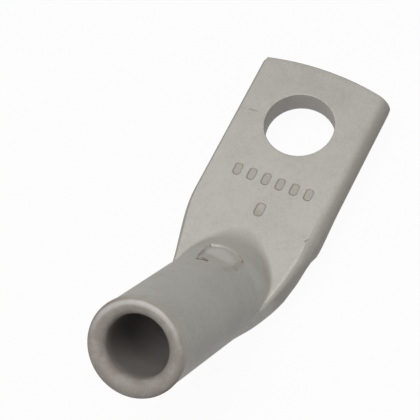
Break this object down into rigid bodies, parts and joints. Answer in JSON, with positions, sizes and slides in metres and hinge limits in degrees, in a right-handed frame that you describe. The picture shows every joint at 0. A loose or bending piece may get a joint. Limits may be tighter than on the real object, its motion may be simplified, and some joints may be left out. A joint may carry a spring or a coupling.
{
  "type": "copper cable lug",
  "caption": "Tinned copper compression cable lug bent at 45 degrees, with a flared barrel for the wire and a flat palm with a stud hole.",
  "frame": {"origin": "centre of the stud hole on the palm's back", "axes": "+Z out of the palm's front, +Y to the palm's sheared end, the barrel rises towards -Y at 45 degrees"},
  "size_m": [0.013, 0.0412, 0.0207],
  "materials": {
    "tinned_copper": "matte tin plating over copper"
  },
  "bodies": {
    "root": {"cable_lug": "tinned_copper"}
  },
  "joints": []
}
